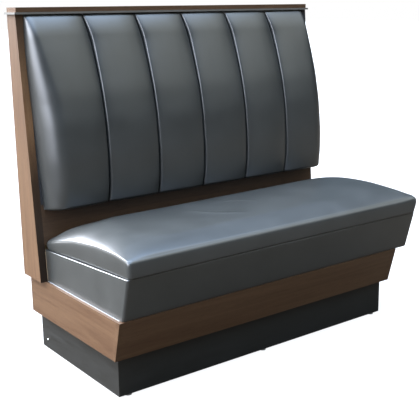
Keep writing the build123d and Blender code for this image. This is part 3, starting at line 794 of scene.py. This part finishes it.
def height_table(values, t):
    """A smooth line through values at marks up the pad's height."""
    marks = [0.0, 0.03, 0.11, 0.26, 0.45, 0.60, 0.75, 0.90, 1.0]
    fine = np.linspace(0, 1, 201)
    line = np.interp(fine, marks, values)
    for _ in range(3):
        line = np.convolve(np.pad(line, 6, mode="edge"), np.full(13, 1 / 13), mode="valid")
    return np.interp(t, fine, line) * MM


def pad_depth(t, kind):
    """The pad's depth along its height: in its seams and on its channels."""
    tables = {
        "seam": [48, 58, 70, 77, 77, 67, 44.5, 13, 0],
        "peak": [66, 76, 88, 95, 91, 79, 59, 39, 28],
    }
    return height_table(tables[kind], t)


def side_bow(t, side):
    """How far the pad's side stands out, or in where less than 0, along its height."""
    tables = {
        "left": [-8, -7, -5, 0, 1.5, 4, 6, 5, 0],
        "right": [5, 5.5, 6, 7, 7, 3.5, -9, -25, -28],
    }
    return height_table(tables[side], t)


def channel_columns(left, right):
    """Places across the pad that crowd at its sides and seams, and the seams themselves."""
    pitch = (right - left - 2 * END_CHANNEL_EXTRA) / CHANNELS
    seams = [left + END_CHANNEL_EXTRA + pitch * (i + 1) + SEAM_SHIFTS[i] * MM for i in range(CHANNELS - 1)]
    places = set()
    for step in range(SIDE_COLUMNS):
        swing = PAD_SIDE_ROLL * SIDE_COVER * (1 - math.cos(step / (SIDE_COLUMNS - 1) * math.pi / 2))
        places.add(round(left + swing, 6))
        places.add(round(right - swing, 6))
    for seam in seams:
        places.add(round(seam, 6))
        for reach in SEAM_REACH:
            places.add(round(seam - reach * MM, 6))
            places.add(round(seam + reach * MM, 6))
    ordered = sorted(places)
    kept = [ordered[0]]
    for place in ordered[1:]:
        if place - kept[-1] > LEAST_COLUMN or any(abs(place - s) < 1e-6 for s in seams):
            if place - kept[-1] > WIDEST_COLUMN:
                kept.append((place + kept[-1]) / 2)
            kept.append(place)
    return np.array(kept), seams


def arch(c, t):
    """A stuffed channel's section, 0 at its seams and 1 in its middle.

    It is steep beside the seams, and steepest right of a seam in the pad's upper half.
    """
    gain = ARCH_GAIN * smooth_step((t - ARCH_GAIN_FROM) / ARCH_GAIN_SPAN)
    power = np.where(c < 0, ARCH_RIGHT + gain, ARCH_LEFT)
    tight = (1 - np.abs(c) ** power) ** (1 / power)
    return ARCH_TIGHT * tight + ARCH_ROUND * (1 - c * c)


def edge_curve(distance, roll, power):
    """The share of the depth at a distance from an edge that rolls over."""
    q = np.clip(distance / roll, 0, 1)
    return (1 - (1 - q) ** power) ** (1 / power)


def pad_field(x, t, left, right, seams, height):
    """The pad's depth in front of its backboard."""
    seam, peak = (pad_depth(t, kind) for kind in ("seam", "peak"))
    edges = [left] + list(seams) + [right]
    depth = np.zeros_like(x)
    for i in range(CHANNELS):
        a, b = edges[i], edges[i + 1]
        inside = (x >= a - 1e-7) & (x <= b + 1e-7)
        c = np.clip(2 * (x - a) / (b - a) - 1, -1, 1)
        shape = arch(c, t)
        if i == 0:
            shape = np.where(c < 0, 1.0, shape)
        if i == CHANNELS - 1:
            shape = np.where(c > 0, 1.0, shape)
        depth = np.where(inside, seam + (peak - seam) * shape, depth)
    for place in seams:
        depth = depth - STITCH_DEPTH * np.exp(-((x - place) / STITCH_REACH) ** 2)
    depth = np.maximum(depth, 0)
    side_roll = np.clip(PAD_ROLL_SHARE * peak, PAD_LEAST_ROLL, PAD_SIDE_ROLL)
    depth = depth * edge_curve(np.minimum(x - left, right - x), side_roll, SIDE_POWER)
    depth = depth * edge_curve(t * height, PAD_FOOT_ROLL, FOOT_POWER)
    return depth * edge_curve((1 - t) * height, PAD_HEAD_ROLL, HEAD_POWER)


def back_pad():
    """The channelled back pad, sewn down along its seams and stuffed between them."""
    board_low, board_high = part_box("pad_backboard")
    left = board_low.x + PAD_LEFT_GAP
    right = board_high.x + PAD_RIGHT_OVERHANG
    low, high = pad_low.z, pad_high.z
    height = high - low
    xs, seams = channel_columns(left, right)
    foot = [low + PAD_FOOT_ROLL * FOOT_COVER * (1 - math.cos(k / FOOT_ROWS * math.pi / 2))
            for k in range(FOOT_ROWS)]
    head = [high - PAD_HEAD_ROLL * HEAD_COVER * (1 - math.cos(k / HEAD_ROWS * math.pi / 2))
            for k in range(HEAD_ROWS)]
    middle = np.linspace(foot[-1], head[-1], PAD_ROWS - FOOT_ROWS - HEAD_ROWS + 2)[1:-1]
    zs = np.array(foot + list(middle) + head[::-1])
    gx, gz = np.meshgrid(xs, zs)
    t = (gz - low) / height
    depth = pad_field(gx, t, left, right, seams, height)
    gy = panel_foot.y + (gz - panel_foot.z) * BACK_LEAN - PAD_GAP - depth
    inside = np.clip(np.minimum(gx - left, right - gx) / PAD_SIDE_ROLL, 0, 1)
    gx = gx - HEAD_LEAN * smooth_step((t - HEAD_LEAN_FROM) / (1 - HEAD_LEAN_FROM)) * inside
    near_left = np.clip(1 - (gx - left) / PAD_SIDE_ROLL, 0, 1)
    near_right = np.clip(1 - (right - gx) / PAD_SIDE_ROLL, 0, 1)
    gx = gx - side_bow(t, "left") * near_left + side_bow(t, "right") * near_right
    points = np.stack([gx, gy, gz], axis=-1)
    rows, columns = gx.shape
    index, faces = grid(rows, columns)
    border = [int(index[j, i]) for j, i in border_ring(rows, columns)]
    faces += closing_strips(border, columns, rows)
    piece = make_piece("back_pad", points.reshape(-1, 3), faces, VINYL_LOOK, "bench")
    pins = border_pins(rows, columns)
    for seam in seams:
        pins[:, np.argmin(np.abs(xs - seam))] = 1
    settle(piece, pins.ravel(), PAD_MOVE, PAD_PRESSURE)
    crease(piece, border)
    subdivide(piece)
    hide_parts("back_cover", "back_foam")


# Box cover
BOX_CORNER = 8 * MM
BOX_ROLL = 2.5 * MM
BOX_LIP = 14 * MM
BOX_FOOT_ROLL = 2.5 * MM
WRAP_SKIN = VINYL * 0.9
WRAP_TURN = VINYL * 4
END_POINTS = 14
CORNER_STEPS = 8
FRONT_POINTS = 40


def box_wrap():
    """The vinyl round the seat box: rolled at its rim, turned in under the seat, and round at its corners."""
    x0, x1 = box_low.x, box_high.x
    z0 = box_low.z
    plan = plan_path(x0, x1)
    rows = wrap_profile()
    points = []
    for x, share, ahead, nx, ny in plan:
        for inset, rise, down in rows:
            points.append(box_point(x, share, ahead, nx, ny, inset, rise, down, z0))
    count = len(rows)
    faces = []
    for k in range(len(plan) - 1):
        for m in range(count):
            n = (m + 1) % count
            faces.append([k * count + m, (k + 1) * count + m, (k + 1) * count + n, k * count + n])
    faces.append(list(range(count)))
    faces.append(list(range((len(plan) - 1) * count, len(plan) * count))[::-1])
    piece = make_piece("box_wrap", points, faces, VINYL_LOOK, "bench")
    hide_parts("box_cover")


def plan_path(x0, x1):
    """Points round the box from its left rear to its right rear.

    Each has its place along X, its share of the depth, how far it is behind the front, and its outward
    normal. Along the ends the share counts, and round the corners and the front the distance does.
    """
    path = []
    radius = BOX_CORNER
    for share in np.linspace(1, 0, END_POINTS):
        path.append((x0, share, None, -1.0, 0.0))
    for k in range(1, CORNER_STEPS):
        angle = k / CORNER_STEPS * math.pi / 2
        path.append((x0 + radius * (1 - math.cos(angle)), 0.0, radius * (1 - math.sin(angle)),
                     -math.cos(angle), -math.sin(angle)))
    for x in np.linspace(x0 + radius, x1 - radius, FRONT_POINTS):
        path.append((x, 0.0, 0.0, 0.0, -1.0))
    for k in range(CORNER_STEPS - 1, 0, -1):
        angle = k / CORNER_STEPS * math.pi / 2
        path.append((x1 - radius * (1 - math.cos(angle)), 0.0, radius * (1 - math.sin(angle)),
                     math.cos(angle), -math.sin(angle)))
    for share in np.linspace(0, 1, END_POINTS):
        path.append((x1, share, None, 1.0, 0.0))
    return path


def wrap_profile():
    """The wrap's section: (inset from the face, share of the height, drop below the rim)."""
    rows = []
    for k in range(4):
        angle = k / 3 * math.pi / 2
        rows.append((BOX_FOOT_ROLL * (1 - math.sin(angle)), 0.0, -BOX_FOOT_ROLL * (1 - math.cos(angle))))
    for share in np.linspace(0.12, 0.88, 9):
        rows.append((0.0, share, 0.0))
    for k in range(6):
        angle = k / 5 * math.pi / 2
        rows.append((BOX_ROLL * (1 - math.cos(angle)), 1.0, BOX_ROLL * (1 - math.sin(angle))))
    rows.append((BOX_LIP, 1.0, 0.0))
    rows.append((BOX_LIP, 1.0, WRAP_SKIN))
    rows.append((WRAP_SKIN, 1.0, WRAP_TURN))
    rows.append((WRAP_SKIN, 0.5, 0.0))
    rows.append((WRAP_SKIN, 0.0, 0.0))
    return rows


def box_point(x, share, ahead, nx, ny, inset, rise, down, z0):
    """One point of the wrap: its plan place moves forward with height, and the rim falls to the rear."""
    z = z0
    # The rim's height and the point's depth hang on each other, and a few rounds settle both
    for _ in range(3):
        front = box_foot.y - (z - z0) * FRONT_LEAN
        back = face_y(z)
        if ahead is None:
            y = front + BOX_CORNER + (back - front - BOX_CORNER) * share
        else:
            y = front + ahead
        y -= ny * inset
        rim = box_high.z - (y - box_low.y) * math.tan(SEAT_FALL)
        z = z0 + (rim - z0) * rise - down
    return (x - nx * inset, y, z)


# Studio
# Soft lights in the sky: direction, cosines where each starts and is full, and colour
LIGHTS = [
    ((-0.14, 0, 1), 0.60, 0.98, (3.8, 5.4, 8.1)),
    ((-0.85, 0.50, 0.15), 0.45, 0.95, (1.22, 1.19, 1.16)),
    ((-0.98, -0.12, 0.05), 0.82, 0.99, (1.9, 1.98, 2.2)),
    ((-0.92, 0.15, 0.40), 0.90, 0.985, (7.6, 8.2, 9.4)),
    ((-0.91, -0.25, 0.38), 0.90, 0.985, (6.4, 6.9, 8.0)),
    ((-0.45, 0.70, 0.55), 0.80, 0.97, (9.5, 9.8, 10.4)),
    ((-0.42, 0.38, 0.82), 0.93, 0.99, (34.0, 36.0, 39.0)),
    ((-0.26, 0.85, 0.46), 0.960, 0.992, (40.0, 43.0, 48.0)),
    ((0.56, 0.76, 0.32), 0.80, 0.97, (0.02, 0.05, 0.08)),
    ((0.38, -0.50, 0.78), 0.70, 0.985, (1.85, 1.93, 1.80)),
]
SKY_BASE = (0.036, 0.036, 0.036)
SEEN_SKY = (1.0, 1.0, 1.0, 1.0)
FLOOR_SHADED = (0.14, 0.14, 0.14, 1.0)
FLOOR_GLOW = (0.84, 0.84, 0.84, 1.0)
FLOOR_BOUNCED = (0.050, 0.041, 0.031, 1.0)
FLOOR_REACH = 40.0


def camera():
    """The photograph's camera."""
    data = bpy.data.cameras.new("photo_camera")
    data.lens = CAMERA_LENS
    data.sensor_width = CAMERA_SENSOR
    data.sensor_fit = "HORIZONTAL"
    data.clip_end = 100.0
    piece = bpy.data.objects.new("photo_camera", data)
    bpy.context.scene.collection.objects.link(piece)
    tilt = math.cos(CAMERA_TILT)
    ahead = Vector((-math.sin(CAMERA_HEADING) * tilt, math.cos(CAMERA_HEADING) * tilt, math.sin(CAMERA_TILT)))
    right = Vector((math.cos(CAMERA_HEADING), math.sin(CAMERA_HEADING), 0.0))
    up = right.cross(ahead)
    across = right * math.cos(CAMERA_ROLL) + up * math.sin(CAMERA_ROLL)
    above = up * math.cos(CAMERA_ROLL) - right * math.sin(CAMERA_ROLL)
    turn = Matrix((across, above, -ahead)).transposed()
    piece.matrix_world = Matrix.Translation(CAMERA_PLACE) @ turn.to_4x4()
    bpy.context.scene.camera = piece


def sky():
    """A studio dome: soft lights above and to the left, dim in front, and plain where the camera sees it."""
    world = bpy.data.worlds.new("studio")
    bpy.context.scene.world = world
    world.use_nodes = True
    tree = world.node_tree
    tree.nodes.clear()
    link = tree.links.new
    way = tree.nodes.new("ShaderNodeTexCoord").outputs["Generated"]

    def lobe(direction, start, end, colour):
        """A light that grows towards one direction."""
        dot = tree.nodes.new("ShaderNodeVectorMath")
        dot.operation = "DOT_PRODUCT"
        link(way, dot.inputs[0])
        dot.inputs[1].default_value = Vector(direction).normalized()
        reach = tree.nodes.new("ShaderNodeMapRange")
        reach.interpolation_type = "SMOOTHSTEP"
        reach.inputs["From Min"].default_value = start
        reach.inputs["From Max"].default_value = end
        link(dot.outputs["Value"], reach.inputs["Value"])
        tint = tree.nodes.new("ShaderNodeVectorMath")
        tint.operation = "SCALE"
        tint.inputs[0].default_value = colour
        link(reach.outputs[0], tint.inputs["Scale"])
        return tint.outputs[0]

    # A lobe that is full in every direction
    total = lobe((0, 0, 1), -1.5, -1.2, SKY_BASE)
    for light in LIGHTS:
        add = tree.nodes.new("ShaderNodeVectorMath")
        add.operation = "ADD"
        link(total, add.inputs[0])
        link(lobe(*light), add.inputs[1])
        total = add.outputs[0]
    lit = tree.nodes.new("ShaderNodeBackground")
    link(total, lit.inputs["Color"])
    plain = tree.nodes.new("ShaderNodeBackground")
    plain.inputs["Color"].default_value = SEEN_SKY
    choose = tree.nodes.new("ShaderNodeMixShader")
    link(tree.nodes.new("ShaderNodeLightPath").outputs["Is Camera Ray"], choose.inputs[0])
    link(lit.outputs[0], choose.inputs[1])
    link(plain.outputs[0], choose.inputs[2])
    link(choose.outputs[0], tree.nodes.new("ShaderNodeOutputWorld").inputs[0])


def floor():
    """A plain pale floor. It throws little light back up on the bench."""
    reach = FLOOR_REACH
    mesh = bpy.data.meshes.new("studio_floor")
    mesh.from_pydata([(-reach, -reach, 0), (reach, -reach, 0), (reach, reach, 0), (-reach, reach, 0)],
                     [], [(0, 1, 2, 3)])
    piece = bpy.data.objects.new("studio_floor", mesh)
    bpy.context.scene.collection.objects.link(piece)
    material = bpy.data.materials.new("studio_floor")
    material.use_nodes = True
    tree = material.node_tree
    tree.nodes.clear()
    shaded = tree.nodes.new("ShaderNodeBsdfDiffuse")
    shaded.inputs["Color"].default_value = FLOOR_SHADED
    glow = tree.nodes.new("ShaderNodeEmission")
    glow.inputs["Color"].default_value = FLOOR_GLOW
    seen = tree.nodes.new("ShaderNodeAddShader")
    tree.links.new(shaded.outputs[0], seen.inputs[0])
    tree.links.new(glow.outputs[0], seen.inputs[1])
    bounced = tree.nodes.new("ShaderNodeBsdfDiffuse")
    bounced.inputs["Color"].default_value = FLOOR_BOUNCED
    choose = tree.nodes.new("ShaderNodeMixShader")
    tree.links.new(tree.nodes.new("ShaderNodeLightPath").outputs["Is Camera Ray"], choose.inputs[0])
    tree.links.new(bounced.outputs[0], choose.inputs[1])
    tree.links.new(seen.outputs[0], choose.inputs[2])
    tree.links.new(choose.outputs[0], tree.nodes.new("ShaderNodeOutputMaterial").inputs[0])
    mesh.materials.append(material)


bpy.context.scene.view_settings.view_transform = "Standard"
camera()
sky()
floor()
dress_nodes()
seat_cushion()
back_pad()
box_wrap()
